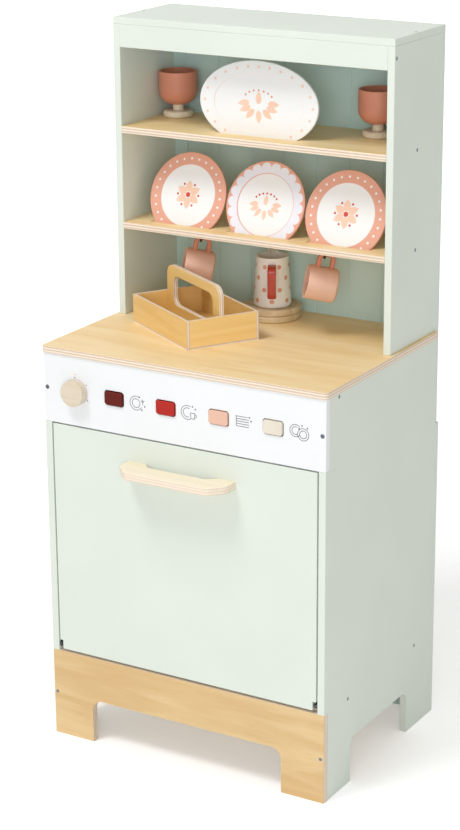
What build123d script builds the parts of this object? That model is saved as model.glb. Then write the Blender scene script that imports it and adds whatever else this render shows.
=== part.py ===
from build123d import *
from math import cos, radians, sin, sqrt, tan
import os

# Play kitchen: a toy dishwasher cabinet with a worktop, a hutch, its crockery and a caddy.
# All sizes are millimetres. While it is drawn, X runs right, Z up from the floor and Y back
# from the front face. The finished pieces are moved so that the origin is the middle of the
# floor under the whole object.

# Boards
board = 10.0                # painted side, front and floor boards
ply = 9.0                   # plywood worktop, shelves, top and back boards
edge_round = 0.8            # softened edges of every board

# Cabinet
width = 416.0
side_depth = 308.0
worktop_height = 552.0      # top face of the worktop
worktop_overhang = 2.0
worktop_corner = 6.0
plinth_height = 124.0
panel_height = 93.5         # control panel, below the worktop
floor_drop = 2.5            # middle of the floor board below the plinth's top
back_seam_drop = 128.0      # where the two back boards meet, below the worktop
foot_width = 62.5           # plinth feet, left and right
side_foot = 72.0            # side panel feet, from the front and from the back
arch_height = 62.0
arch_corner = 15.0
stretcher_width = 46.0
side_screw_front = 64.0     # floor board's screws, from the front and from the back
side_screw_back = 52.0

# Hutch
hutch_depth = 133.0
hutch_inset = 3.0           # hutch outer face inside the cabinet's side face
top_height = 952.0
header_height = 30.0
tier_shares = (119.0, 120.0, 134.0)    # clear heights over the worktop and each shelf
groove_pitch = 50.0
groove_width = 2.4
groove_depth = 1.2

# Door
door_gap = 2.0
door_bottom_gap = 3.5
pin_height = 5.7            # hinge axis above the door's lower edge
pin_set_back = 3.4          # hinge axis behind the front face
pin_radius = 1.2
pin_clearance = 0.05
pin_end_gap = 0.3
pin_in_door = 16.0
barrel_radius = 2.7
barrel_length = 4.6
knuckle_notch = (5.0, 12.5)
bracket_thickness = 1.1
bracket_reach = 24.0
bracket_height = 9.0
bracket_screw_radius = 1.1
bracket_screw_length = 8.0
striker = (11.0, 1.0, 12.0)
catch = (16.0, 22.0, 20.0)
catch_gap = 0.3
magnet = (9.0, 4.0, 8.0)
catch_drop = 9.0            # top of the catch below the control panel

# Handle
handle_half = 80.0
handle_reach = 41.0
handle_bar = 31.0
handle_front_half = 61.0
handle_shoulder = 21.0
handle_gap_half = 53.0
handle_gap_taper = 10.0
handle_thickness = 10.0
handle_drop = 32.0          # handle's top below the door's top
handle_outer_round = 16.0
handle_inner_round = 4.0
handle_screw_x = 66.0
handle_screw_radius = 1.7
handle_screw_depth = 18.0
handle_screw_head = 3.4

# Controls
control_drop = 47.0         # dial and buttons below the control panel's top
dial_inset = 50.6           # dial's axis from the left side
dial_radius = 17.0
dial_thickness = 12.0
dial_clearance = 1.0
dial_edge = 1.6
spindle_radius = 4.0
spindle_clearance = 0.06
spindle_in_knob = 8.0
spindle_tail = 5.0
collar_radius = 8.0
collar_thickness = 2.5
button_first_step = 58.2    # dial to the first button
button_pitch = 77.8
button_count = 4
button_hole = (30.0, 20.5)
button_hole_round = 4.5
button_clearance = 1.4
button_pressed_proud = 0.2  # still out of the panel when pressed
button_edge = 1.2
button_flange = (35.0, 25.0, 2.0)
button_travel = 2.5
flange_gap = 0.3
stem_radius = 3.0
stem_clearance = 0.3
stem_tail = 3.0
spring_pressed = 5.2
spring_wire = 0.9
spring_radius = 4.6
spring_turns = 4
guide_thickness = 6.0
guide_height = 55.0

# Dish rack inside
rack_side_gap = 28.0
rack_rail = (10.0, 10.0)
rack_rows = (105.0, 205.0)
peg_radius = 3.0
peg_height = 60.0
peg_seat = 6.0
peg_pitch = 40.0
peg_count = 8

# Fasteners
play = 0.05                 # room around a screw, pin or peg in its hole
screw_radius = 1.8
screw_head_radius = 2.4
screw_head = 1.0
screw_length = 26.0
bolt_radius = 2.0
bolt_head_radius = 3.0
bolt_head = 1.5
bolt_socket = 2.0
bolt_length = 36.0

# Taking dishes out of the hutch
lift_slope = 10.0           # degrees up, while they come forward
seat_depth = 1.2            # groove that a plate or platter stands in
seat_clearance = 0.3

# Plates
plate_thickness = 4.0
plate_edge = 1.0
plate_lean = 20.0
plate_from_front = 27.0     # groove behind the hutch's front
plate_gap = 2.3             # between two plates
plate_side_gap = 18.7       # outer plates to the hutch's sides
plate_headroom = 29.1       # over the plates, under the upper shelf
plate_flat = 19.3           # cut away under the plate, so that it stands
plate_middle_x = 0.8
plate_rim = 16.5
plate_well_depth = 0.8

# Platter
platter_half = (87.5, 55.6)
platter_cut = 40.9
platter_x = -4.5
platter_from_front = 31.0
platter_lean = 2.0
platter_well = (66.0, 39.0)

# Goblets
goblet_radius = 26.0
goblet_wall = 2.5
goblet_height = 62.0
goblet_bowl_round = 19.0
goblet_foot_radius = 20.5
goblet_foot_height = 9.0
goblet_foot_round = 3.6
goblet_stem_radius = 7.4
goblet_stem_top = 17.0
goblet_side_gaps = {"left": 2.0, "right": 36.0}
goblet_back_gaps = {"left": 10.0, "right": 8.0}

# Mugs and their hooks
mug_radius = 22.5
mug_length = 40.0
mug_wall = 2.6
mug_floor = 4.0
mug_base_round = 4.0
mug_handle_width = 24.0
mug_handle_reach = 20.0
mug_handle_thickness = 6.0
mug_strap = 7.0
mug_strap_round = 1.6
mug_handle_corner = 3.0     # corners of the finger hole
mug_tilt = 12.0             # mouth up, as the mug hangs
mug_yaw = 34.8              # mouth turned to the front, from straight left
mug_hook_offset = 3.2       # hook towards the mouth from the handle's middle
hook_xs = {"left": -100.5, "right": 86.5}
hook_from_front = 43.0
hook_drop = 15.0            # centre of the wire at the hook's bottom, below the shelf
hook_wire = 1.5
hook_bend = 8.0
hook_tip = 4.0
hook_thread = 5.0
hook_flange = (4.0, 1.2)
hook_play = 0.5

# Jug on two wooden dishes
stack_x = -17.0
stack_back_gap = 5.0
saucer_radius = 39.0
saucer_height = 9.0
saucer_recess_radius = 34.0
saucer_recess = 1.5
saucer_round = 2.5
jug_base_radius = 26.0
jug_rim_radius = 21.5
jug_headroom = 34.5         # over the jug's rim, under the lower shelf
jug_wall = 2.6
jug_floor = 4.0
jug_base_round = 4.0
jug_handle_direction = -62.0
jug_handle_low = 16.0
jug_handle_below_rim = 7.0
jug_handle_reach = 17.0
jug_handle_thickness = 5.0
jug_strap = 11.0
jug_strap_round = 1.6
jug_loop_round = 8.0
jug_gap_round = 4.0
jug_handle_sink = 6.0       # drawn into the wall, then cut off along it
spout_radius = 6.5
spout_length = 12.0
spout_rise = 25.0
spout_wall = 1.8

# Caddy
caddy_length = 157.0
caddy_width = 105.0
caddy_height = 38.5
caddy_wall = 4.0
caddy_bottom = 3.0
caddy_from_stack = (-13.9, -195.9)     # near corner, from the dishes' axis
caddy_turn = -31.1          # direction of the long sides, degrees from +X
divider_thickness = 7.0
divider_height = 76.0
divider_corner = 15.0
divider_slot = (112.0, 40.0)
divider_slot_round = 12.0
divider_rim = 13.0          # wood above the slot

# Derived places
half = width / 2
inner_half = half - board
worktop_bottom = worktop_height - ply
panel_bottom = worktop_bottom - panel_height
control_height = worktop_bottom - control_drop
back_y = side_depth + ply
door_low = plinth_height + door_bottom_gap
door_high = panel_bottom - door_gap
door_half = inner_half - door_gap
pin_z = door_low + pin_height
handle_top = door_high - handle_drop
floor_centre = plinth_height - floor_drop
floor_top = floor_centre + board / 2
back_seam = worktop_height - back_seam_drop
rack_half = inner_half - rack_side_gap
hutch_half = half - hutch_inset
hutch_inner = hutch_half - board
hutch_front = side_depth - hutch_depth
hutch_top_bottom = top_height - ply
tiers_clear = hutch_top_bottom - worktop_height - 2 * ply
jug_tier, plate_tier, platter_tier = [
    tiers_clear * share / sum(tier_shares) for share in tier_shares]
lower_shelf_top = worktop_height + jug_tier + ply
upper_shelf_top = lower_shelf_top + plate_tier + ply
origin_y = (back_y - handle_reach) / 2
plate_room_wide = (hutch_inner - plate_side_gap - plate_gap) / 3
plate_room_tall = ((plate_tier - plate_headroom) / cos(radians(plate_lean)) + plate_flat) / 2
plate_radius = min(plate_room_wide, plate_room_tall)
plate_cut = plate_radius - plate_flat
plate_well_radius = plate_radius - plate_rim
plate_pitch = 2 * plate_radius + plate_gap
plate_xs = [plate_middle_x + plate_pitch * step for step in (-1, 0, 1)]
plate_y = hutch_front + plate_from_front
platter_y = hutch_front + platter_from_front
goblet_places = {
    place: (side * (hutch_inner - goblet_radius - goblet_side_gaps[place]),
            side_depth - goblet_radius - goblet_back_gaps[place])
    for place, side in (("left", -1), ("right", 1))}
hook_places = {place: (x, hutch_front + hook_from_front) for place, x in hook_xs.items()}
hook_height = lower_shelf_top - ply - hook_drop
stack_y = side_depth - saucer_radius - stack_back_gap
stack_rise = 2 * saucer_height - saucer_recess
jug_height = jug_tier - stack_rise - jug_headroom
jug_handle_high = jug_height - jug_handle_below_rim
caddy_corner = (stack_x + caddy_from_stack[0], stack_y + caddy_from_stack[1])
dial_x = dial_inset - half
button_first_x = dial_x + button_first_step
button_xs = [button_first_x + button_pitch * step for step in range(button_count)]
button_proud = button_travel + button_pressed_proud
spring_length = button_travel + spring_pressed
spring_front = board + flange_gap + button_flange[2]
guide_front = spring_front + spring_length
seat_slack = seat_depth / tan(radians(lift_slope)) + seat_clearance


def block(x0, x1, y0, y1, z0, z1):
    """Plain box between two corners."""
    centre = ((x0 + x1) / 2, (y0 + y1) / 2, (z0 + z1) / 2)
    return Pos(*centre) * Box(abs(x1 - x0), abs(y1 - y0), abs(z1 - z0))


def plank(x0, x1, y0, y1, z0, z1):
    """Board with softened edges."""
    raw = block(x0, x1, y0, y1, z0, z1)
    return fillet(raw.edges(), edge_round)


def rail_x(x0, x1, y0, y1, z0, z1):
    """Board between two others, softened only along its length."""
    raw = block(x0, x1, y0, y1, z0, z1)
    return fillet(raw.edges().filter_by(Axis.X), edge_round)


def along_x(sketch, x0, x1):
    """Extrude a (Y, Z) sketch from x0 to x1."""
    plane = Plane(origin=(x0, 0, 0), x_dir=(0, 1, 0), z_dir=(1, 0, 0))
    return extrude(plane * sketch, amount=x1 - x0)


def along_y(sketch, y0, y1):
    """Extrude an (X, Z) sketch from y0 to y1."""
    plane = Plane(origin=(0, y0, 0), x_dir=(1, 0, 0), z_dir=(0, -1, 0))
    return extrude(plane * sketch, amount=y0 - y1)


def rod_x(radius, x0, x1, y, z):
    """Round bar along X."""
    return along_x(Pos(y, z) * Circle(radius), x0, x1)


def rod_y(radius, y0, y1, x, z):
    """Round bar along Y."""
    return along_y(Pos(x, z) * Circle(radius), y0, y1)


def rod_z(radius, z0, z1, x, y):
    """Round bar along Z."""
    return Pos(x, y, (z0 + z1) / 2) * Cylinder(radius, z1 - z0)


def arch(half_span):
    """Flat sketch of an arch that stands on the floor, to be cut away."""
    return RectangleRounded(2 * half_span, 2 * arch_height, arch_corner)


def joined(pieces):
    """Separate solids kept side by side in one node."""
    return Compound([solid for piece in pieces for solid in piece.solids()])


# Cabinet

def side_panel(side):
    inner, outer = sorted((side * inner_half, side * half))
    panel = plank(inner, outer, 0, side_depth, 0, worktop_bottom)
    over = board + 1
    panel -= block(inner - 1, outer + 1, -1, board, panel_bottom, worktop_bottom + over)
    panel -= block(inner - 1, outer + 1, -1, board, -over, plinth_height)
    span = side_depth - 2 * side_foot
    cut = Pos(side_depth / 2, 0) * arch(span / 2)
    panel -= along_x(cut, inner - 1, outer + 1)
    for hole in side_screws(side, play) + front_screws(side, play):
        panel -= hole
    return panel - bolt_shape(side, play) - bracket_screw(side, play)


def plinth():
    base = plank(-half, half, 0, board, 0, plinth_height)
    base -= along_y(arch(half - foot_width), -1, board + 1)
    for side in (-1, 1):
        for hole in front_screws(side, play):
            base -= hole
    return base


def control_panel():
    panel = plank(-half, half, 0, board, panel_bottom, worktop_bottom)
    for x in button_xs:
        hole = RectangleRounded(*button_hole, button_hole_round)
        panel -= along_y(Pos(x, control_height) * hole, -1, board + 1)
    panel -= rod_y(spindle_radius + spindle_clearance, -1, board + 1, dial_x, control_height)
    for side in (-1, 1):
        panel -= bolt_shape(side, play)
    return panel


def worktop():
    outline = RectangleRounded(
        width + 2 * worktop_overhang, side_depth + worktop_overhang, worktop_corner)
    middle = (side_depth - worktop_overhang) / 2
    top = extrude(Pos(0, middle, worktop_bottom) * outline, amount=ply)
    return fillet(top.edges().group_by(Axis.Z)[-1] + top.edges().group_by(Axis.Z)[0], edge_round)


def floor_board():
    low = floor_centre - board / 2
    panel = rail_x(-inner_half, inner_half, board, side_depth, low, floor_top)
    for side in (-1, 1):
        for hole in side_screws(side, play):
            panel -= hole
    return panel


def front_stretcher():
    panel = rail_x(-inner_half, inner_half, board, board + stretcher_width,
                   worktop_bottom - board, worktop_bottom)
    for side in (-1, 1):
        for hole in side_screws(side, play):
            panel -= hole
    return panel


def lower_back_board():
    panel = plank(-half, half, side_depth, back_y, 0, back_seam)
    return panel - along_y(arch(half - foot_width), side_depth - 1, back_y + 1)


def hutch_back_board():
    panel = plank(-hutch_half, hutch_half, side_depth, back_y, back_seam, top_height)
    grooves = int(hutch_half / groove_pitch)
    for step in range(-grooves, grooves):
        x = (step + 0.5) * groove_pitch
        notch = Polygon(
            (x - groove_width / 2, side_depth), (x + groove_width / 2, side_depth),
            (x, side_depth + groove_depth), align=None)
        panel -= extrude(Pos(0, 0, back_seam - 1) * notch, amount=top_height - back_seam + 2)
    return panel


def hutch_side(side):
    inner, outer = sorted((side * hutch_inner, side * hutch_half))
    panel = plank(inner, outer, hutch_front, side_depth, worktop_height, hutch_top_bottom)
    for hole in hutch_screws(side, play):
        panel -= hole
    return panel


def hutch_top():
    panel = plank(-hutch_half, hutch_half, hutch_front, side_depth, hutch_top_bottom, top_height)
    for side in (-1, 1):
        for hole in hutch_screws(side, play):
            panel -= hole
    return panel


def header_rail():
    rail = rail_x(-hutch_inner, hutch_inner, hutch_front, hutch_front + board,
                  hutch_top_bottom - header_height, hutch_top_bottom)
    for side in (-1, 1):
        for hole in hutch_screws(side, play):
            rail -= hole
    return rail


def shelf(top):
    panel = rail_x(-hutch_inner, hutch_inner, hutch_front, side_depth, top - ply, top)
    for side in (-1, 1):
        for hole in hutch_screws(side, play):
            panel -= hole
    return panel


def seat_groove(x, half_length, y, thickness, shelf_top):
    """Shallow groove with room in front for the way out."""
    front = y - thickness / 2 - seat_slack
    rear = y + thickness / 2 + seat_clearance
    return block(x - half_length, x + half_length, front, rear,
                 shelf_top - seat_depth, shelf_top + 1)


def upper_shelf():
    chord = platter_half[0] * sqrt(1 - (platter_cut / platter_half[1]) ** 2)
    thick = plate_thickness / cos(radians(platter_lean))
    return shelf(upper_shelf_top) - seat_groove(
        platter_x, chord + plate_thickness, platter_y, thick, upper_shelf_top)


def lower_shelf():
    panel = shelf(lower_shelf_top)
    chord = sqrt(plate_radius ** 2 - plate_cut ** 2)
    thick = plate_thickness / cos(radians(plate_lean))
    for x in plate_xs:
        panel -= seat_groove(x, chord + plate_thickness, plate_y, thick, lower_shelf_top)
    for x, y in hook_places.values():
        back_x, back_y = hook_shank_offset()
        under = lower_shelf_top - ply
        panel -= rod_z(hook_wire + play, under - 1, under + hook_thread, x + back_x, y + back_y)
    return panel


# Fasteners

def side_screw_places():
    """(y, z) of the screws that go through a cabinet side into the boards between."""
    return [(side_screw_front, floor_centre), (side_depth - side_screw_back, floor_centre),
            (board + stretcher_width / 2, worktop_bottom - board / 2)]


def hutch_screw_places():
    """(y, z) of the screws through a hutch side into the rail and the shelves."""
    middle = (hutch_front + side_depth) / 2
    return [(hutch_front + board / 2, hutch_top_bottom - header_height / 2),
            (middle, upper_shelf_top - ply / 2), (middle, lower_shelf_top - ply / 2)]


def screw_x(side, face, y, z, grow):
    """Countersunk screw driven in from a side face."""
    ends = sorted((face, face - side * screw_length))
    head_ends = sorted((face, face - side * screw_head))
    shank = rod_x(screw_radius + grow, *ends, y, z)
    return shank + rod_x(screw_head_radius + grow, *head_ends, y, z)


def screw_y(x, z, grow):
    """Screw driven into the front of a board."""
    shank = rod_y(screw_radius + grow, 0, screw_length, x, z)
    return shank + rod_y(screw_head_radius + grow, 0, screw_head, x, z)


def screw_z(x, y, grow):
    """Screw driven down through the hutch top."""
    shank = rod_z(screw_radius + grow, top_height - screw_length, top_height, x, y)
    return shank + rod_z(screw_head_radius + grow, top_height - screw_head, top_height, x, y)


def side_screws(side, grow=0.0):
    return [screw_x(side, side * half, y, z, grow) for y, z in side_screw_places()]


def front_screws(side, grow=0.0):
    return [screw_y(side * (half - board / 2), arch_height, grow)]


def hutch_screws(side, grow=0.0):
    screws = [screw_x(side, side * hutch_half, y, z, grow) for y, z in hutch_screw_places()]
    middle = (hutch_front + side_depth) / 2
    return screws + [screw_z(side * (hutch_half - board / 2), middle, grow)]


def panel_screws():
    pieces = []
    for side in (-1, 1):
        pieces += side_screws(side) + front_screws(side) + hutch_screws(side)
    return joined(pieces)


def bolt_shape(side, grow=0.0):
    x = side * (half - board / 2)
    shank = rod_y(bolt_radius + grow, 0, bolt_length, x, control_height)
    return shank + rod_y(bolt_head_radius + grow, 0, bolt_head, x, control_height)


def control_panel_bolts():
    socket = RegularPolygon(bolt_socket, 6)
    pieces = []
    for side in (-1, 1):
        x = side * (half - board / 2)
        pieces.append(bolt_shape(side) - along_y(Pos(x, control_height) * socket, -1, bolt_head * 0.8))
    return joined(pieces)


# Door

def door_panel():
    panel = plank(-door_half, door_half, 0, board, door_low, door_high)
    notch_width, notch_height = knuckle_notch
    for side in (-1, 1):
        a, b = sorted((side * (door_half - notch_width), side * (door_half + 1)))
        panel -= block(a, b, -1, board + 1, door_low - 1, door_low + notch_height)
        panel -= hinge_pin(side, play)
        panel -= handle_screw(side, play)
    return panel


def hinge_pin(side, grow=0.0):
    start = door_half - knuckle_notch[0] - pin_in_door
    a, b = sorted((side * start, side * (inner_half - pin_end_gap)))
    return rod_x(pin_radius + grow, a, b, pin_set_back, pin_z)


def hinge_pins():
    return joined(hinge_pin(side) for side in (-1, 1))


def bracket(side):
    """Barrel on a flat leaf, fixed to the inner face of a side panel."""
    barrel_in = side * (inner_half - barrel_length)
    leaf_in = side * (inner_half - bracket_thickness)
    outer = side * inner_half
    barrel = rod_x(barrel_radius, min(barrel_in, outer), max(barrel_in, outer), pin_set_back, pin_z)
    leaf = block(min(leaf_in, outer), max(leaf_in, outer), pin_set_back,
                 pin_set_back + bracket_reach, pin_z - bracket_height / 2,
                 pin_z + bracket_height / 2)
    bore = rod_x(pin_radius + pin_clearance, -half, half, pin_set_back, pin_z)
    return barrel + leaf - bore - bracket_screw(side, play)


def bracket_screw(side, grow=0.0):
    start = side * (inner_half - bracket_thickness)
    end = start + side * bracket_screw_length
    y = pin_set_back + bracket_reach * 0.7
    return rod_x(bracket_screw_radius + grow, min(start, end), max(start, end), y, pin_z)


def hinge_brackets():
    return joined(bracket(side) for side in (-1, 1))


def bracket_screws():
    return joined(bracket_screw(side) for side in (-1, 1))


def striker_plates():
    wide, thick, tall = striker
    top = panel_bottom - catch_drop
    pieces = []
    for side in (-1, 1):
        a, b = sorted((side * (door_half - 1), side * (door_half - 1 - wide)))
        pieces.append(block(a, b, board, board + thick, top - tall, top))
    return joined(pieces)


def catch_place(side, size, y0):
    """Box centred on the striker's height, against the side panel."""
    wide, deep, tall = size
    middle = panel_bottom - catch_drop - striker[2] / 2
    a, b = sorted((side * inner_half, side * (inner_half - wide)))
    return block(a, b, y0, y0 + deep, middle - tall / 2, middle + tall / 2)


def magnet_block(side):
    wide, deep, tall = magnet
    middle = panel_bottom - catch_drop - striker[2] / 2
    x = side * (inner_half - catch[0] / 2)
    y0 = board + striker[1] + catch_gap
    return block(x - wide / 2, x + wide / 2, y0, y0 + deep, middle - tall / 2, middle + tall / 2)


def catch_housings():
    y0 = board + striker[1] + catch_gap
    return joined(catch_place(side, catch, y0) - magnet_block(side) for side in (-1, 1))


def catch_magnets():
    return joined(magnet_block(side) for side in (-1, 1))


def handle_outline():
    bar_inner = handle_reach - handle_bar
    gap_bar = handle_gap_half - handle_gap_taper
    outer = Polygon(
        (-handle_half, 0), (-handle_half, -handle_shoulder), (-handle_front_half, -handle_reach),
        (handle_front_half, -handle_reach), (handle_half, -handle_shoulder), (handle_half, 0),
        align=None)
    outer = fillet(outer.vertices().filter_by(lambda v: v.Y < -1), handle_outer_round)
    gap = Polygon(
        (-handle_gap_half, 1), (-handle_gap_half, 0), (-gap_bar, -bar_inner),
        (gap_bar, -bar_inner), (handle_gap_half, 0), (handle_gap_half, 1), align=None)
    gap = fillet(gap.vertices().filter_by(lambda v: v.Y < -1), handle_inner_round)
    return outer - gap


def door_handle():
    bar = extrude(Pos(0, 0, handle_top - handle_thickness) * handle_outline(),
                  amount=handle_thickness)
    rims = bar.edges().filter_by(Axis.Z, reverse=True).filter_by(
        lambda e: e.center().Y < -1)
    bar = fillet(rims, edge_round)
    for side in (-1, 1):
        bar -= handle_screw(side, play)
    return bar


def handle_screw(side, grow=0.0):
    x = side * handle_screw_x
    z = handle_top - handle_thickness / 2
    shank = rod_y(handle_screw_radius + grow, -handle_screw_depth, board, x, z)
    return shank + rod_y(handle_screw_head + grow, board - 2, board, x, z)


def handle_screws():
    return joined(handle_screw(side) for side in (-1, 1))


# Controls

def dial_knob():
    front = -dial_clearance - dial_thickness
    knob = rod_y(dial_radius, front, -dial_clearance, dial_x, control_height)
    knob = fillet(knob.edges().group_by(Axis.Y)[0], dial_edge)
    bore = rod_y(spindle_radius + play, -dial_clearance - spindle_in_knob, 0,
                 dial_x, control_height)
    return knob - bore


def dial_spindle():
    start = -dial_clearance - spindle_in_knob
    collar_start = board + flange_gap
    end = collar_start + collar_thickness + spindle_tail
    shaft = rod_y(spindle_radius, start, end, dial_x, control_height)
    return shaft + rod_y(collar_radius, collar_start, collar_start + collar_thickness,
                         dial_x, control_height)


def button(x):
    cap = RectangleRounded(button_hole[0] - 2 * button_clearance,
                           button_hole[1] - 2 * button_clearance,
                           button_hole_round - button_clearance)
    flange_start = board + flange_gap
    body = along_y(Pos(x, control_height) * cap, -button_proud, flange_start)
    body = fillet(body.edges().group_by(Axis.Y)[0], button_edge)
    wide, tall, thick = button_flange
    flange = along_y(Pos(x, control_height) * Rectangle(wide, tall),
                     flange_start, flange_start + thick)
    end = guide_front + guide_thickness + stem_tail
    return body + flange + rod_y(stem_radius, flange_start, end, x, control_height)


def button_spring(x):
    """Coil from the button's flange to the guide board."""
    pitch = (spring_length - spring_wire) / spring_turns
    helix = Helix(pitch=pitch, height=pitch * spring_turns, radius=spring_radius - spring_wire / 2)
    start = helix @ 0
    section = Plane(origin=start, x_dir=(1, 0, 0), z_dir=helix % 0) * Circle(spring_wire / 2)
    coil = sweep(section, path=helix)
    turned = Rot(-90, 0, 0) * coil
    return Pos(x, spring_front + spring_wire / 2, control_height) * turned


def guide_board():
    top = worktop_bottom - board
    panel = rail_x(-inner_half, inner_half, guide_front, guide_front + guide_thickness,
                   top - guide_height, top)
    for x in button_xs:
        panel -= rod_y(stem_radius + stem_clearance, guide_front - 1,
                       guide_front + guide_thickness + 1, x, control_height)
    return panel


# Dish rack

def peg_xs():
    first = -peg_pitch * (peg_count - 1) / 2
    return [first + peg_pitch * step for step in range(peg_count)]


def peg(x, y):
    low = floor_top + rack_rail[1] - peg_seat
    stick = rod_z(peg_radius, low, low + peg_seat + peg_height, x, y)
    return fillet(stick.edges().group_by(Axis.Z)[-1], peg_radius * 0.6)


def rack_rails():
    deep, tall = rack_rail
    rails = []
    for y in rack_rows:
        rail = plank(-rack_half, rack_half, y - deep / 2, y + deep / 2, floor_top, floor_top + tall)
        for x in peg_xs():
            rail -= rod_z(peg_radius + play, floor_top + tall - peg_seat,
                          floor_top + tall + 1, x, y)
        rails.append(rail)
    return joined(rails)


def rack_pegs():
    return joined(peg(x, y) for y in rack_rows for x in peg_xs())


# Plates and platter

def standing_disc(outline, well, cut, lean, x, y, shelf_top):
    """Disc that leans back, cut level where it stands in its groove."""
    disc = extrude(outline, amount=plate_thickness)
    disc = fillet(disc.edges(), plate_edge)
    disc -= extrude(Pos(0, 0, plate_thickness - plate_well_depth) * well, amount=plate_well_depth)
    disc = Pos(0, 0, -plate_thickness / 2) * disc
    rise = cut * cos(radians(lean))
    back = cut * sin(radians(lean))
    disc = Pos(x, y + back, shelf_top + rise) * Rot(90 - lean, 0, 0) * disc
    low = shelf_top - seat_depth
    return disc - block(x - half, x + half, 0, side_depth, low - plate_radius, low)


def plate(x):
    return standing_disc(Circle(plate_radius), Circle(plate_well_radius), plate_cut,
                         plate_lean, x, plate_y, lower_shelf_top)


def serving_platter():
    return standing_disc(Ellipse(*platter_half), Ellipse(*platter_well), platter_cut,
                         platter_lean, platter_x, platter_y, upper_shelf_top)


# Goblets

def turned(outline, x, y, z):
    """Revolve an (X, Z) outline about the vertical through (x, y)."""
    return Pos(x, y, z) * revolve(Plane.XZ * outline, axis=Axis.Z)


def cup_section(radius, height, low, wall, rounding):
    """Half section of a round-bottomed cup."""
    outer = Polygon((0, low), (radius, low), (radius, height), (0, height), align=None)
    outer = fillet(outer.vertices().filter_by(lambda v: v.X > 1 and v.Y < low + 1), rounding)
    inner_r = radius - wall
    inner = Polygon((0, low + wall), (inner_r, low + wall), (inner_r, height + 1),
                    (0, height + 1), align=None)
    inner = fillet(inner.vertices().filter_by(lambda v: v.X > 1 and v.Y < low + wall + 1),
                   rounding - wall)
    return outer - inner


def goblet_bowl(place):
    section = cup_section(goblet_radius, goblet_height, goblet_stem_top, goblet_wall,
                          goblet_bowl_round)
    bowl = turned(section, *goblet_places[place], upper_shelf_top)
    rim = bowl.edges().group_by(Axis.Z)[-1]
    return fillet(rim, goblet_wall * 0.4)


def goblet_foot(place):
    disc = Polygon((0, 0), (goblet_foot_radius, 0), (goblet_foot_radius, goblet_foot_height),
                   (0, goblet_foot_height), align=None)
    disc = fillet(disc.vertices().filter_by(lambda v: v.X > 1), goblet_foot_round)
    stem = Polygon((0, 0), (goblet_stem_radius, 0), (goblet_stem_radius, goblet_stem_top),
                   (0, goblet_stem_top), align=None)
    return turned(disc + stem, *goblet_places[place], upper_shelf_top)


# Mugs on cup hooks

def mouth_direction():
    turn = radians(180 + mug_yaw)
    return Vector(cos(turn), sin(turn), 0)


def mug_frame(place):
    """Plane with Z along the mug to its mouth and X towards the handle."""
    mouth = mouth_direction()
    up = Vector(0, 0, 1)
    tilt = radians(mug_tilt)
    axis = mouth * cos(tilt) + up * sin(tilt)
    handle = up * cos(tilt) - mouth * sin(tilt)
    x, y = hook_places[place]
    hook = Vector(x, y, hook_height)
    reach = mug_radius + mug_handle_reach - mug_handle_thickness - hook_wire - hook_play
    centre = hook - handle * reach - axis * mug_hook_offset
    return Plane(origin=centre, x_dir=handle, z_dir=axis)


def mug_solid():
    outer = Pos(0, 0, -mug_length / 2) * extrude(Circle(mug_radius), amount=mug_length)
    outer = fillet(outer.edges().group_by(Axis.Z)[0], mug_base_round)
    inner = Pos(0, 0, mug_floor - mug_length / 2) * extrude(
        Circle(mug_radius - mug_wall), amount=mug_length)
    inner = fillet(inner.edges().group_by(Axis.Z)[0], mug_base_round - 1)
    cup = outer - inner
    return fillet(cup.edges().group_by(Axis.Z)[-1], mug_wall * 0.4)


def round_ended(x0, x1, wide):
    """Strip from x0 whose far end, at x1, is a half circle."""
    nose = wide / 2
    strip = Pos((x0 + x1 - nose) / 2, 0) * Rectangle(x1 - nose - x0, wide)
    return strip + Pos(x1 - nose, 0) * Circle(nose)


def mug_handle_solid():
    start = mug_radius - 2.0
    end = mug_radius + mug_handle_reach
    wide = mug_handle_width
    thick = mug_handle_thickness
    deep = end - thick - start
    gap = Pos(end - thick - deep, 0) * RectangleRounded(2 * deep, wide - 2 * thick,
                                                       mug_handle_corner)
    loop = round_ended(start, end, wide) - gap
    plane = Plane(origin=(0, 0, 0), x_dir=(1, 0, 0), z_dir=(0, -1, 0))
    strap = extrude(plane * loop, amount=mug_strap / 2, both=True)
    rims = strap.edges().filter_by(
        lambda e: e.center().X > start + 0.1 and abs(abs(e.center().Y) - mug_strap / 2) < 0.01)
    strap = fillet(rims, mug_strap_round)
    return strap - Cylinder(mug_radius, mug_length * 2)


def mug_body(place):
    return mug_frame(place).location * mug_solid()


def mug_handle(place):
    return mug_frame(place).location * mug_handle_solid()


def hook_shank_offset():
    """Step from the hook's bottom back to its shank."""
    mouth = mouth_direction()
    return mouth.Y * hook_bend, -mouth.X * hook_bend


def cup_hook(place):
    x, y = hook_places[place]
    dx, dy = hook_shank_offset()
    under = lower_shelf_top - ply
    bend = hook_height + hook_bend
    top = Vector(x + dx, y + dy, under + hook_thread)
    down = Vector(x + dx, y + dy, bend)
    low = Vector(x, y, hook_height)
    rise = Vector(x - dx, y - dy, bend)
    tip = Vector(x - dx, y - dy, bend + hook_tip)
    path = Wire([Line(top, down), ThreePointArc(down, low, rise), Line(rise, tip)])
    section = Plane(origin=top, x_dir=(1, 0, 0), z_dir=(0, 0, -1)) * Circle(hook_wire)
    wire = sweep(section, path=path)
    radius, thick = hook_flange
    return wire + rod_z(radius, under - thick, under, x + dx, y + dy)


def cup_hooks():
    return joined(cup_hook(place) for place in hook_places)


# Jug and the dishes under it

def saucer(level):
    low = worktop_height + level * saucer_height
    disc = rod_z(saucer_radius, low, low + saucer_height, stack_x, stack_y)
    disc = fillet(disc.edges(), saucer_round)
    recess = rod_z(saucer_recess_radius, low + saucer_height - saucer_recess,
                   low + saucer_height + 1, stack_x, stack_y)
    return disc - recess


def jug_base():
    return worktop_height + stack_rise


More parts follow.
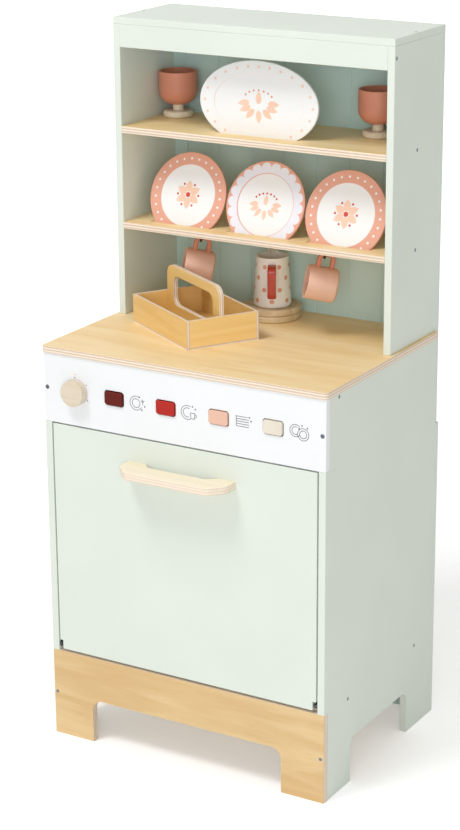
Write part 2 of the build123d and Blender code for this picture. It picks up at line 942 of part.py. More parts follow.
def jug_cone(grow, low, high):
    """Jug shape shrunk by grow, between two heights over its base."""
    slope = (jug_rim_radius - jug_base_radius) / jug_height
    r_low = jug_base_radius + slope * low - grow
    r_high = jug_base_radius + slope * high - grow
    return Polygon((0, low), (r_low, low), (r_high, high), (0, high), align=None)


def jug_body():
    outer = jug_cone(0, 0, jug_height)
    outer = fillet(outer.vertices().filter_by(lambda v: v.X > 1 and v.Y < 1), jug_base_round)
    shell = revolve(Plane.XZ * outer, axis=Axis.Z)
    spout = jug_spout(spout_radius)
    lid = spout_length * sin(radians(spout_rise))
    over = jug_height + spout_length + spout_radius
    inner = revolve(Plane.XZ * jug_cone(jug_wall, jug_floor, over), axis=Axis.Z)
    jug = shell + spout - inner - jug_spout(spout_radius - spout_wall)
    side = 2 * jug_base_radius
    jug -= block(-side, side, -side, side, jug_height + lid, over)
    return Pos(stack_x, stack_y, jug_base()) * jug


def jug_spout(radius):
    """Half-round channel that rises outwards from the rim, opposite the handle."""
    channel = Circle(radius) - Pos(0, radius) * Rectangle(4 * radius, 2 * radius)
    reach = jug_rim_radius - 2 * jug_wall
    extra = 1 if radius < spout_radius else 0
    plane = Plane(origin=(reach, 0, jug_height), x_dir=(0, 1, 0),
                  z_dir=(cos(radians(spout_rise)), 0, sin(radians(spout_rise))))
    length = 2 * jug_wall + spout_length + extra
    bar = extrude(plane * channel, amount=length)
    return Rot(0, 0, jug_handle_direction + 180) * bar


def jug_handle():
    tall = jug_handle_high - jug_handle_low
    middle = (jug_handle_high + jug_handle_low) / 2
    slope = (jug_rim_radius - jug_base_radius) / jug_height
    wall = jug_base_radius + slope * middle
    reach = jug_handle_reach + jug_handle_sink
    start = wall - jug_handle_sink
    gap_tall = tall - 2 * jug_handle_thickness
    loop = RectangleRounded(reach, tall, min(jug_loop_round, tall * 0.4))
    outer = Pos(start + reach / 2, 0) * loop
    gap = Pos(start + reach / 2, 0) * RectangleRounded(
        reach - 2 * jug_handle_thickness, gap_tall, min(jug_gap_round, gap_tall * 0.4))
    opened = Pos(start, 0) * Rectangle(reach, gap_tall)
    gap += opened
    plane = Plane(origin=(0, 0, middle), x_dir=(1, 0, 0), z_dir=(0, -1, 0))
    strap = extrude(plane * (outer - gap), amount=jug_strap / 2, both=True)
    rims = strap.edges().filter_by(lambda e: abs(abs(e.center().Y) - jug_strap / 2) < 0.01)
    strap = fillet(rims, jug_strap_round)
    strap -= revolve(Plane.XZ * jug_cone(0, 0, jug_height), axis=Axis.Z)
    return Pos(stack_x, stack_y, jug_base()) * Rot(0, 0, jug_handle_direction) * strap


# Caddy, drawn with its near corner at the origin and its length along -X

def caddy_frame():
    return Pos(*caddy_corner, worktop_height) * Rot(0, 0, caddy_turn)


def caddy_long_sides():
    pieces = []
    for y in (0, caddy_width - caddy_wall):
        pieces.append(block(-caddy_length, 0, y, y + caddy_wall, caddy_bottom, caddy_height))
    return caddy_frame() * joined(pieces)


def caddy_ends():
    pieces = []
    for x in (-caddy_length, -caddy_wall):
        pieces.append(block(x, x + caddy_wall, caddy_wall, caddy_width - caddy_wall,
                            caddy_bottom, caddy_height))
    return caddy_frame() * joined(pieces)


def caddy_base():
    return caddy_frame() * block(-caddy_length, 0, 0, caddy_width, 0, caddy_bottom)


def caddy_divider():
    inside = caddy_length - 2 * caddy_wall
    tall = divider_height - caddy_bottom
    sheet = Pos(-caddy_length / 2, caddy_bottom + tall / 2) * Rectangle(inside, tall)
    sheet = fillet(sheet.vertices().group_by(Axis.Y)[-1], divider_corner)
    slot_wide, slot_tall = divider_slot
    slot = Pos(-caddy_length / 2, divider_height - divider_rim - slot_tall / 2)
    sheet -= slot * RectangleRounded(slot_wide, slot_tall, divider_slot_round)
    middle = caddy_width / 2
    panel = along_y(sheet, middle - divider_thickness / 2, middle + divider_thickness / 2)
    rims = panel.edges().filter_by(lambda e: e.center().Z > caddy_height and abs(
        abs(e.center().Y - middle) - divider_thickness / 2) < 0.01)
    return caddy_frame() * fillet(rims, edge_round)


def nodes():
    """Every node's name and its shape."""
    parts = {
        "side_panel_left": side_panel(-1),
        "side_panel_right": side_panel(1),
        "plinth": plinth(),
        "control_panel": control_panel(),
        "worktop": worktop(),
        "floor_board": floor_board(),
        "front_stretcher": front_stretcher(),
        "lower_back_board": lower_back_board(),
        "hutch_back_board": hutch_back_board(),
        "hutch_side_left": hutch_side(-1),
        "hutch_side_right": hutch_side(1),
        "hutch_top": hutch_top(),
        "header_rail": header_rail(),
        "upper_shelf": upper_shelf(),
        "lower_shelf": lower_shelf(),
        "cup_hooks": cup_hooks(),
        "button_guide_board": guide_board(),
        "rack_rails": rack_rails(),
        "rack_pegs": rack_pegs(),
        "catch_housings": catch_housings(),
        "catch_magnets": catch_magnets(),
        "hinge_brackets": hinge_brackets(),
        "hinge_bracket_screws": bracket_screws(),
        "control_panel_bolts": control_panel_bolts(),
        "panel_screws": panel_screws(),
        "door_panel": door_panel(),
        "door_handle": door_handle(),
        "handle_screws": handle_screws(),
        "hinge_pins": hinge_pins(),
        "striker_plates": striker_plates(),
        "dial_knob": dial_knob(),
        "dial_spindle": dial_spindle(),
        "serving_platter": serving_platter(),
        "saucer_lower": saucer(0),
        "saucer_upper": saucer(1),
        "jug_body": jug_body(),
        "jug_handle": jug_handle(),
        "caddy_long_sides": caddy_long_sides(),
        "caddy_ends": caddy_ends(),
        "caddy_base": caddy_base(),
        "caddy_divider": caddy_divider(),
    }
    for number, x in enumerate(button_xs, start=1):
        parts[f"button_{number}"] = button(x)
        parts[f"button_spring_{number}"] = button_spring(x)
    for place, x in zip(("left", "middle", "right"), plate_xs):
        parts[f"plate_{place}"] = plate(x)
    for place in goblet_places:
        parts[f"goblet_bowl_{place}"] = goblet_bowl(place)
        parts[f"goblet_foot_{place}"] = goblet_foot(place)
    for place in hook_places:
        parts[f"mug_body_{place}"] = mug_body(place)
        parts[f"mug_handle_{place}"] = mug_handle(place)
    return parts


def main():
    os.makedirs("parts", exist_ok=True)
    for name, shape in nodes().items():
        export_step(Pos(0, -origin_y, 0) * shape, f"parts/{name}.step")


if __name__ == "__main__":
    main()
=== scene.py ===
# %% [markdown]
# # A wooden play kitchen: dishwasher, hutch and crockery
#
# The packed solids give every board, dish and fastener its place. This lesson gives them
# their looks: painted boards, birch plywood with layered edges, turned wood, lacquer,
# steel, and the prints on the dishes and on the control panel.

# %% Load the frame
from math import atan2, cos, pi, radians, sin

import bmesh
import bpy
from mathutils import Matrix, Vector


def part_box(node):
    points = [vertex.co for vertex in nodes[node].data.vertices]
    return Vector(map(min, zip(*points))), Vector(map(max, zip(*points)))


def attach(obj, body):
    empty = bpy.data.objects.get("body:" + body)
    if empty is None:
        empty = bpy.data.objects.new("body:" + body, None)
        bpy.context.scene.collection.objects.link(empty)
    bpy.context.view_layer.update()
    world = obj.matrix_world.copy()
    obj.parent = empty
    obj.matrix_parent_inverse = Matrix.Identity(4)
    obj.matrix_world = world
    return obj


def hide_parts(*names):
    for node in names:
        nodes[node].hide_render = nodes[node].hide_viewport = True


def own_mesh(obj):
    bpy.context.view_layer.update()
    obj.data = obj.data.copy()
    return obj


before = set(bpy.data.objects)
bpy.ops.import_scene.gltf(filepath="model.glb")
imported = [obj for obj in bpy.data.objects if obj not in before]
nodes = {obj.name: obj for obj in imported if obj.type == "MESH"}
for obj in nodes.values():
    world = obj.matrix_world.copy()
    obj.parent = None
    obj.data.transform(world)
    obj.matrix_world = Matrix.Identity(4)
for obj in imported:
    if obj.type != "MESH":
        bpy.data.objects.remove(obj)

X_AXIS = Vector((1, 0, 0))
Y_AXIS = Vector((0, 1, 0))
Z_AXIS = Vector((0, 0, 1))
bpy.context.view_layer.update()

# %% [markdown]
# ## Camera
#
# The photograph was taken from the front right, a little above the worktop. A camera can
# be made to track a target, but then it can't roll. This one is given as a place, two
# angles and a small roll, because those can be measured from the photograph's corners. A
# long lens keeps the uprights almost parallel.

# %% Camera
CAMERA_PLACE = Vector((1.40877, -2.37806, 1.36357))
CAMERA_AZIMUTH = radians(30.812)
CAMERA_ELEVATION = radians(18.277)
CAMERA_ROLL = radians(-0.395)
CAMERA_LENS = 96.25
CAMERA_REACH = 50


def camera_axes(azimuth, elevation, roll):
    """The camera's right, up and back directions."""
    back = Vector((sin(azimuth) * cos(elevation), -cos(azimuth) * cos(elevation), sin(elevation)))
    right = Vector((cos(azimuth), sin(azimuth), 0))
    up = back.cross(right)
    turned_right = right * cos(roll) + up * sin(roll)
    turned_up = up * cos(roll) - right * sin(roll)
    return turned_right, turned_up, back


def add_camera():
    data = bpy.data.cameras.new("camera")
    data.lens = CAMERA_LENS
    data.clip_end = CAMERA_REACH
    camera = bpy.data.objects.new("camera", data)
    bpy.context.scene.collection.objects.link(camera)
    right, up, back = camera_axes(CAMERA_AZIMUTH, CAMERA_ELEVATION, CAMERA_ROLL)
    turned = Matrix((right, up, back)).transposed().to_4x4()
    camera.matrix_world = Matrix.Translation(CAMERA_PLACE) @ turned
    bpy.context.scene.camera = camera
    return camera


camera = add_camera()
print("camera", CAMERA_LENS, "mm, at", tuple(camera.location))

# %% [markdown]
# ## Shader maths as expressions
#
# A pattern is a sum: a distance, a comparison, a mask. Written out as nodes and links it
# is hard to read, so one small class wraps a socket and turns Python's operators into Math
# nodes. The owner of a value is the node tree that the socket is in.


# %% Values
class Value:
    """A socket that carries a number or a vector, for use in expressions."""

    def __init__(self, owner, socket):
        self.owner = owner
        self.socket = socket

    def math(self, operation, *values):
        return self.owner.add("ShaderNodeMath", {"operation": operation}, list(values))

    def __add__(self, other):
        return self.math("ADD", self, other)

    def __radd__(self, other):
        return self.math("ADD", other, self)

    def __sub__(self, other):
        return self.math("SUBTRACT", self, other)

    def __rsub__(self, other):
        return self.math("SUBTRACT", other, self)

    def __mul__(self, other):
        return self.math("MULTIPLY", self, other)

    def __rmul__(self, other):
        return self.math("MULTIPLY", other, self)

    def __truediv__(self, other):
        return self.math("DIVIDE", self, other)

    def __pow__(self, other):
        return self.math("POWER", self, other)

    def __lt__(self, other):
        return self.math("LESS_THAN", self, other)

    def __gt__(self, other):
        return self.math("GREATER_THAN", self, other)

    def __abs__(self):
        return self.math("ABSOLUTE", self)

    def sine(self):
        return self.math("SINE", self)

    def cosine(self):
        return self.math("COSINE", self)

    def root(self):
        return self.math("SQRT", self)

    def most(self, other):
        return self.math("MAXIMUM", self, other)

    def rounded(self):
        return self.math("ROUND", self)

    def bearing(self, across):
        """Angle of a point that is this far up and that far across."""
        return self.math("ARCTAN2", self, across)

    def centred(self, period):
        """Distance from the middle of the nearest of many equal stretches."""
        return self.math("PINGPONG", self + period / 2, period / 2)

    def repeat(self, period):
        """The value folded into -period/2 to period/2."""
        return self.math("WRAP", self, period / 2, -period / 2)

    def smooth(self, low, high):
        """0 below low, 1 above high, and soft between them."""
        settings = {"interpolation_type": "SMOOTHSTEP", "clamp": True}
        return self.owner.add("ShaderNodeMapRange", settings, [self, low, high, 0.0, 1.0])

    def dot(self, direction):
        """How far along a direction a vector reaches."""
        settings = {"operation": "DOT_PRODUCT"}
        return self.owner.add("ShaderNodeVectorMath", settings, [self, tuple(direction)], "Value")


ways = [name for name, way in vars(Value).items() if callable(way) and name != "__init__"]
print("ways to work with a value:", len(ways))

# %% [markdown]
# ## Node trees, materials and colours
#
# Every other node is added by one method. It sets the node's own settings first, because
# they can change its sockets. A material is such a tree with a Principled shader at its
# end. Colours are written as on a web page and turned into the linear values that the
# shader wants.

# %% Node trees
MIX_FACTOR, MIX_UNDER, MIX_OVER = 0, 6, 7       # the colour sockets of a Mix node
MIX_RESULT = 2


class Nodes:
    """A node tree, and the nodes that are added to it."""

    def __init__(self, tree):
        self.tree = tree

    def add(self, kind, settings, values, output=0):
        """One node: its settings are set first, then its sockets by place or by name."""
        node = self.tree.nodes.new(kind)
        for key, setting in settings.items():
            setattr(node, key, setting)
        named = values.items() if isinstance(values, dict) else enumerate(values)
        for key, value in named:
            self.feed(node.inputs[key], value)
        return Value(self, node.outputs[output])

    def feed(self, socket, value):
        if isinstance(value, Value):
            self.tree.links.new(value.socket, socket)
        else:
            socket.default_value = value

    def mix(self, mask, under, over):
        """Colour that is under where the mask is 0 and over where it is 1."""
        colours = {MIX_FACTOR: mask, MIX_UNDER: under, MIX_OVER: over}
        return self.add("ShaderNodeMix", {"data_type": "RGBA"}, colours, MIX_RESULT)

    def multiply(self, one, other):
        """Product of two colours."""
        settings = {"data_type": "RGBA", "blend_type": "MULTIPLY"}
        colours = {MIX_FACTOR: 1.0, MIX_UNDER: one, MIX_OVER: other}
        return self.add("ShaderNodeMix", settings, colours, MIX_RESULT)


print("colour sockets of a Mix node:", MIX_FACTOR, MIX_UNDER, MIX_OVER)


# %% Materials
class Finish(Nodes):
    """A material whose nodes end in a Principled shader."""

    def __init__(self, name):
        self.material = bpy.data.materials.new(name)
        self.material.use_nodes = True
        super().__init__(self.material.node_tree)
        self.shader = self.tree.nodes["Principled BSDF"]

    def place(self):
        """Position on the piece, in metres, in the object's frame."""
        return self.add("ShaderNodeTexCoord", {}, [], "Object")

    def facing(self):
        """Which way the surface looks, in the object's frame."""
        return self.add("ShaderNodeTexCoord", {}, [], "Normal")

    def noise(self, vector, scale, detail=3.0, roughness=0.5, distortion=0.0):
        values = {"Vector": vector, "Scale": scale, "Detail": detail,
                  "Roughness": roughness, "Distortion": distortion}
        return self.add("ShaderNodeTexNoise", {}, values, "Fac")

    def bump(self, height, distance, strength=1.0):
        values = {"Strength": strength, "Distance": distance, "Height": height}
        normal = self.add("ShaderNodeBump", {}, values)
        self.set(Normal=normal)

    def set(self, **sockets):
        for name, value in sockets.items():
            self.feed(self.shader.inputs[name.replace("_", " ")], value)


# %% Colours
def tint(code):
    """A colour written as on a web page, as linear values."""
    channels = [int(code[i:i + 2], 16) / 255 for i in (1, 3, 5)]
    linear = [c / 12.92 if c <= 0.04045 else ((c + 0.055) / 1.055) ** 2.4 for c in channels]
    return (*linear, 1)


def scaled(colour, share):
    """A colour made lighter or darker."""
    return tuple(min(1, c * share) for c in colour[:3]) + (1,)


def grey(level):
    return (level, level, level, 1)


print("middle grey in linear light:", tint("#808080"))

# %% [markdown]
# ## Painted boards
#
# Matt paint on fibreboard looks flat from afar. Close by, the roller leaves a very fine
# orange peel and the shade drifts by one or two percent over a hand's width. One plain
# colour would look like plastic, so two noises give both: a wide one for the colour, and a
# fine one for the bump. The back boards are blue-green in front and sage at the rear. Two
# materials on one mesh would need its faces sorted, so one paint asks which way a face
# looks.

# %% Paint
CLOUD_SCALE = 9.0
PEEL_SCALE = 900.0
PEEL = 0.00004
SHEEN_DRIFT = 0.12          # how far the roughness follows the grain


def clouds(finish):
    """Slow drift between 0 and 1."""
    return finish.noise(finish.place(), CLOUD_SCALE, detail=4.0).smooth(0.3, 0.7)


def painted(name, colour, roughness=0.55, drift=0.018):
    """Rolled or sprayed paint."""
    finish = Finish(name)
    grain = finish.noise(finish.place(), PEEL_SCALE, detail=2.0)
    dark = scaled(colour, 1 - drift)
    light = scaled(colour, 1 + drift * 0.4)
    finish.set(Base_Color=finish.mix(clouds(finish), dark, light))
    finish.set(Roughness=roughness - SHEEN_DRIFT / 2 + SHEEN_DRIFT * grain)
    finish.bump(grain, PEEL)
    return finish.material


SAGE = tint("#dae2d9")
SAGE_DEEP = tint("#c8e2df")
PANEL_WHITE = tint("#eaedf0")
sage_paint = painted("sage_paint", SAGE)
panel_paint = painted("panel_paint", PANEL_WHITE, roughness=0.4, drift=0.015)


def two_sided_paint(name, front, rest):
    """Paint of one colour on the face that looks forwards, and of another elsewhere."""
    finish = Finish(name)
    grain = finish.noise(finish.place(), PEEL_SCALE, detail=2.0)
    forwards = (0 - finish.facing().dot(Y_AXIS)).smooth(0.4, 0.6)
    colour = finish.mix(forwards, rest, front)
    shade = finish.mix(clouds(finish), grey(0.97), grey(1))
    finish.set(Base_Color=finish.multiply(colour, shade))
    finish.set(Roughness=0.5 + SHEEN_DRIFT * grain)
    finish.bump(grain, PEEL)
    return finish.material


back_paint = two_sided_paint("back_paint", SAGE_DEEP, SAGE)
print("paints:", sage_paint.name, panel_paint.name, back_paint.name)

# %% [markdown]
# ## Birch plywood
#
# A face of rotary-cut birch shows long, soft bands and short darker dashes along the grain.
# The edge shows its layers: every second veneer is end grain and darker. A picture of the
# wood would need every board unwrapped. Noise that is stretched along the grain needs
# none, and one material does for face and edge: the surface normal says which of them a
# point is on, and the distance through the board says which layer it is in.

# %% Plywood
PLY_FACE_LIGHT = tint("#f6dfb2")
PLY_FACE_DARK = tint("#ebca8e")
PLY_DASH = tint("#c39a5e")
PLY_EDGE_LIGHT = tint("#efe2d0")
PLY_EDGE_DARK = tint("#bd9c86")
VENEER = 0.0018
BANDS = (1.6, 16.0, 16.0)           # scales along the grain, across it and through the board
FIBRES = (14.0, 420.0, 420.0)
DASHES = (45.0, 900.0, 900.0)
PORES = (260.0, 260.0, 900.0)
WOBBLE = (20.0, 20.0, 20.0)
WOBBLE_DEPTH = 0.0005
PLY_RELIEF = 0.00005


def stretched(finish, sides, scales):
    """Place on the piece, with its own scale in each direction."""
    parts = [side * scale for side, scale in zip(sides, scales)]
    return finish.add("ShaderNodeCombineXYZ", {}, parts)


def plywood(name, through, along, light=PLY_FACE_LIGHT, dark=PLY_FACE_DARK, lines=1.0):
    """Plywood whose thickness runs through and whose grain runs along."""
    finish = Finish(name)
    place = finish.place()
    sides = [place.dot(way) for way in (along, through.cross(along), through)]
    bands = finish.noise(stretched(finish, sides, BANDS), 2.2, 3.0, 0.55, 0.7)
    fibre = finish.noise(stretched(finish, sides, FIBRES), 1.0, 2.0, 0.6)
    dashes = finish.noise(stretched(finish, sides, DASHES), 1.0, 1.0)
    face = finish.mix(bands.smooth(0.32, 0.68) * 0.75 + fibre * 0.25, light, dark)
    face = finish.mix(dashes.smooth(0.66, 0.78) * (0.35 * lines), face, PLY_DASH)
    wobble = finish.noise(stretched(finish, sides, WOBBLE), 1.0)
    layer = (sides[2] + wobble * WOBBLE_DEPTH).centred(VENEER * 2) / VENEER
    pores = finish.noise(stretched(finish, sides, PORES), 1.0)
    stripe = layer.smooth(0.35, 0.65) * (0.35 + 0.5 * pores) * lines
    edge = finish.mix(stripe, PLY_EDGE_LIGHT, PLY_EDGE_DARK)
    on_edge = 1 - abs(finish.facing().dot(through)).smooth(0.55, 0.8)
    finish.set(Base_Color=finish.mix(on_edge, face, edge))
    finish.set(Roughness=0.46 + 0.12 * fibre + 0.1 * on_edge)
    finish.bump(fibre * 0.6 + dashes * 0.4 - on_edge * stripe, PLY_RELIEF)
    return finish.material


shelf_ply = plywood("shelf_ply", Z_AXIS, X_AXIS)
upright_ply = plywood("upright_ply", Y_AXIS, X_AXIS, tint("#e2c796"), tint("#d0ac77"))
handle_ply = plywood("handle_ply", Z_AXIS, X_AXIS, tint("#f3e9d2"), tint("#e9dbbc"), 0.45)
print("plywoods:", shelf_ply.name, upright_ply.name, handle_ply.name)

# %% [markdown]
# ## The caddy's plywood
#
# The caddy stands at an angle on the worktop, so its boards and their grain are turned. A
# Mapping node could turn the pattern. Here the same function is handed other directions:
# the caddy's own length and width. The end boards get lighter colours than the sides and
# the base: that is painted light, for the light that falls more on the ends.

# %% The caddy's plywood
CADDY_ANGLE = radians(-31.1)
CADDY_ALONG = Vector((cos(CADDY_ANGLE), sin(CADDY_ANGLE), 0))
CADDY_ACROSS = Vector((-sin(CADDY_ANGLE), cos(CADDY_ANGLE), 0))
CADDY_LIGHT = tint("#e9c684")
CADDY_DARK = tint("#d9af62")
# painted light: the end boards' colours are lighter copies of the caddy plywood, so that the ends
# look more lit than the sides
CADDY_END_PAINTED_LIT_LIGHT = tint("#fadb9b")
CADDY_END_PAINTED_LIT_DARK = tint("#edc57a")
caddy_side_ply = plywood("caddy_side_ply", CADDY_ACROSS, CADDY_ALONG, CADDY_LIGHT, CADDY_DARK)
caddy_end_painted_lit_ply = plywood(
    "caddy_end_painted_lit_ply", CADDY_ALONG, CADDY_ACROSS, CADDY_END_PAINTED_LIT_LIGHT, CADDY_END_PAINTED_LIT_DARK)
caddy_base_ply = plywood("caddy_base_ply", Z_AXIS, CADDY_ALONG, CADDY_LIGHT, CADDY_DARK)
print("plywood on a piece turned by", round(CADDY_ANGLE, 3), "rad:", caddy_side_ply.name)

# %% [markdown]
# ## Solid pale wood
#
# The dial, the goblets' feet, the wooden dishes and the hidden rack are solid beech or
# birch. Their grain is fine and straight, with tiny darker flecks along it. The rings of
# the log could be worked out from its axis, but pieces this small show little more than
# straight grain. Two stretched noises are enough.

# %% Solid wood
FLECK = tint("#b39468")
RINGS = (4.0, 60.0, 60.0)
FLECKS = (220.0, 1100.0, 1100.0)
FLECK_RELIEF = 0.00004


def solid_wood(name, light, dark):
    """Wood whose grain runs along X."""
    finish = Finish(name)
    place = finish.place()
    sides = [place.dot(way) for way in (X_AXIS, Y_AXIS, Z_AXIS)]
    rings = finish.noise(stretched(finish, sides, RINGS), 1.0, 3.0, 0.6, 0.5)
    flecks = finish.noise(stretched(finish, sides, FLECKS), 1.0, 1.0)
    base = finish.mix(rings.smooth(0.3, 0.7), light, dark)
    finish.set(Base_Color=finish.mix(flecks.smooth(0.6, 0.8) * 0.35, base, FLECK))
    finish.set(Roughness=0.5 + 0.12 * rings)
    finish.bump(flecks, FLECK_RELIEF)
    return finish.material


knob_wood = solid_wood("knob_wood", tint("#dfd4c3"), tint("#d5c7b0"))
foot_wood = solid_wood("foot_wood", tint("#eee3cf"), tint("#dccab0"))
dish_wood = solid_wood("dish_wood", tint("#e2cdab"), tint("#cdb48c"))
print("solid woods:", knob_wood.name, foot_wood.name, dish_wood.name)

# %% [markdown]
# ## Lacquer on wood
#
# The crockery and the buttons are painted wood. The cups are matt with a soft sheen, and
# the wood's pores just show. Geometry for pores would be wasted at this size, so a fine
# noise moves the bump and the roughness. The jug's handle and the buttons are a little
# glossier, with a thin clear coat on top.


# %% Lacquer
def lacquered(name, colour, roughness=0.42, coat=0.0, specular=0.35):
    finish = Finish(name)
    place = finish.place()
    cloud = finish.noise(place, 30.0, detail=3.0)
    fine = finish.noise(place, 1500.0, detail=2.0)
    finish.set(Base_Color=finish.mix(cloud.smooth(0.3, 0.7), colour, scaled(colour, 0.93)))
    finish.set(Roughness=roughness - 0.05 + 0.1 * fine)
    finish.set(Coat_Weight=coat, Coat_Roughness=0.12)
    finish.set(Specular_IOR_Level=specular)
    finish.bump(fine, 0.00005)
    return finish.material


TERRACOTTA = tint("#d68d74")
SALMON = tint("#e6bba6")
button_colours = ["#631408", "#b4261c", "#e6bba6", "#e2dacb"]
goblet_lacquer = lacquered("goblet_lacquer", TERRACOTTA)
mug_lacquer = lacquered("mug_lacquer", SALMON)
mug_handle_lacquer = lacquered("mug_handle_lacquer", tint("#cf7d60"))
jug_handle_lacquer = lacquered("jug_handle_lacquer", tint("#bf4330"), 0.35, 0.2)
print("button colours:", button_colours)

# %% [markdown]
# ## Steel
#
# Screws, bolts, hooks, hinge parts and springs are zinc-plated or blackened steel. Bare
# metal has no colour of its own apart from its reflection, so Metallic is 1 and the tint
# is that reflection's. Fine turning marks in the roughness break it up. The catches'
# housings and magnets are plastic, which the lacquer gives well enough.


# %% Steel
def steel(name, colour, roughness):
    finish = Finish(name)
    place = finish.place()
    marks = finish.noise(place, 1200.0, detail=2.0)
    finish.set(Base_Color=finish.mix(marks, colour, scaled(colour, 0.8)))
    finish.set(Metallic=1.0)
    finish.set(Roughness=roughness + 0.15 * marks)
    finish.bump(marks, 0.00002)
    return finish.material


zinc = steel("zinc", tint("#a9adb0"), 0.3)
dark_steel = steel("dark_steel", tint("#5d6165"), 0.35)
spring_steel = steel("spring_steel", tint("#c9cccf"), 0.2)
bolt_steel = steel("bolt_steel", tint("#8f979e"), 0.38)
catch_plastic = lacquered("catch_plastic", tint("#e9e7e2"), 0.5)
magnet_plastic = lacquered("magnet_plastic", tint("#2a2a2c"), 0.5)
print("steels:", zinc.name, bolt_steel.name, dark_steel.name, spring_steel.name)

# %% [markdown]
# ## Where a leaning dish is
#
# The plates and the platter lean back in grooves of the shelves, on a flat lower edge.
# Their prints follow the disc and not the world's axes. So this step finds each disc's
# centre from the shelf's top, the lean and the cut edge, and keeps the disc's own right, up
# and outward directions.

# %% Leaning dishes
PLATE_LEAN = radians(20)
PLATE_CUT = 0.0387          # flat lower edge below the centre
PLATE_Y = 0.064
PLATTER_LEAN = radians(2)
PLATTER_CUT = 0.0409
PLATTER_Y = 0.068


def middle(node):
    """Middle of a node's box."""
    low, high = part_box(node)
    return (low + high) / 2


class Disc:
    """Where a leaning dish is: its centre, and its own right, up and outward directions."""

    def __init__(self, node, shelf, y, cut, lean):
        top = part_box(shelf)[1].z
        self.centre = Vector((middle(node).x, y + cut * sin(lean), top + cut * cos(lean)))
        self.right = X_AXIS
        self.up = Vector((0, sin(lean), cos(lean)))
        self.out = Vector((0, -cos(lean), sin(lean)))

    def at(self, right, up, out):
        return self.centre + self.right * right + self.up * up + self.out * out


discs = {
    side: Disc(f"plate_{side}", "lower_shelf", PLATE_Y, PLATE_CUT, PLATE_LEAN)
    for side in ("left", "middle", "right")
}
platter_disc = Disc("serving_platter", "upper_shelf", PLATTER_Y, PLATTER_CUT, PLATTER_LEAN)
print("platter's centre:", tuple(platter_disc.centre))

# %% [markdown]
# ## Prints on the dishes
#
# The dishes are lacquered white and printed. An image could carry the print, but it would
# blur close by. Rings, dots and scallops follow the disc, so each is worked out from the
# distance to the disc's centre and the angle round it. That says nothing about depth, so
# the print runs through the dish and shows on its back too.

# %% Printed lacquer
DOT_BLUR = 0.0002
PRINT_RELIEF = 0.00002
DISH_WHITE = tint("#edeeef")


def disc_maths(finish, disc):
    """Distances to the right of the disc's centre and up from it, in metres."""
    place = finish.place()
    return [place.dot(way) - disc.centre.dot(way) for way in (disc.right, disc.up)]


def inside(distance, radius):
    """1 within a printed dot, with a soft edge."""
    return 1 - distance.smooth(radius - DOT_BLUR, radius + DOT_BLUR)


def printed(finish, colour):
    """Lacquer with a print in it."""
    fine = finish.noise(finish.place(), 1300.0, detail=2.0)
    finish.set(Base_Color=colour)
    finish.set(Roughness=0.36 + 0.08 * fine)
    finish.bump(fine, PRINT_RELIEF)
    return finish.material


print("dots blur over", 2 * DOT_BLUR, "m")

# %% [markdown]
# ## Plates with a ring of dots
#
# The two outer plates have a salmon rim with white dots. Twenty-seven dots could be placed
# one by one. Folding the angle into one step draws them all with one distance.

# %% Dotted plates
PLATE_WELL = 0.0415
WELL_BLUR_IN, WELL_BLUR_OUT = 0.0004, 0.0002
PLATE_DOTS = 0.0495         # radius of the ring of dots
PLATE_DOT = 0.0016
RIM_SALMON = tint("#e0a58f")


def dotted_plate(name, disc, count=27):
    """White plate with a salmon rim and a ring of white dots."""
    finish = Finish(name)
    right, up = disc_maths(finish, disc)
    radius = (right * right + up * up).root()
    angle = up.bearing(right)
    along = angle.repeat(2 * pi / count) * PLATE_DOTS
    rise = radius - PLATE_DOTS
    dot = (rise * rise + along * along).root()
    rim = radius.smooth(PLATE_WELL - WELL_BLUR_IN, PLATE_WELL + WELL_BLUR_OUT)
    colour = finish.mix(rim, DISH_WHITE, RIM_SALMON)
    colour = finish.mix(inside(dot, PLATE_DOT), colour, DISH_WHITE)
    return printed(finish, colour)


plate_finishes = {
    "plate_left": dotted_plate("plate_left_print", discs["left"]),
    "plate_right": dotted_plate("plate_right_print", discs["right"]),
}
print("dotted plates:", sorted(plate_finishes))

# %% [markdown]
# ## The plate with scallops
#
# The middle plate has a pale band whose outer edge is scalloped, and a salmon edge outside
# it. The band is everything within a circle or within one of the lobes on it, which is the
# larger of two masks.

# %% Scalloped plate
SCALLOPS = 0.0485           # radius of the ring of scallops
SCALLOP_STEP = 0.050        # radius by which the steps between scallops are measured
SCALLOP = 0.0071
WELL_LINE, WELL_LINE_BLUR = 0.0003, 0.0006
RIM_LILAC = tint("#e6e6f0")


def scalloped_plate(name, disc, count=22):
    """White plate with a pale scalloped band inside a salmon edge."""
    finish = Finish(name)
    right, up = disc_maths(finish, disc)
    radius = (right * right + up * up).root()
    angle = up.bearing(right)
    along = angle.repeat(2 * pi / count) * SCALLOP_STEP
    rise = radius - SCALLOPS
    lobe = (rise * rise + along * along).root()
    band = (radius < SCALLOPS).most(lobe < SCALLOP)
    colour = finish.mix(band, RIM_SALMON, RIM_LILAC)
    off_line = abs(radius - PLATE_WELL).smooth(WELL_LINE, WELL_LINE_BLUR)
    colour = finish.mix(radius < PLATE_WELL, colour, DISH_WHITE)
    colour = finish.mix(1 - off_line, colour, RIM_SALMON)
    return printed(finish, colour)


plate_finishes["plate_middle"] = scalloped_plate("plate_middle_print", discs["middle"])
print("scallops are", SCALLOP, "m in radius")

# %% [markdown]
# ## The oval platter
#
# The platter's dots stand at even steps along an oval. Even steps of the angle would crowd
# them at its ends, so a sine term shifts the angle before it is folded and back after it.

# %% Dotted platter
PLATTER_HALF = Vector((0.0875, 0.0556))
PLATTER_DOTS_INSET = 0.0078
PLATTER_DOT = 0.0020
PLATTER_LINE = Vector((0.066, 0.039))
LINE_EDGE, LINE_BLUR = 0.004, 0.010     # as shares of the line's oval
PLATTER_DOT_INK = tint("#f0cfbc")
PLATTER_INK = tint("#f2dccb")


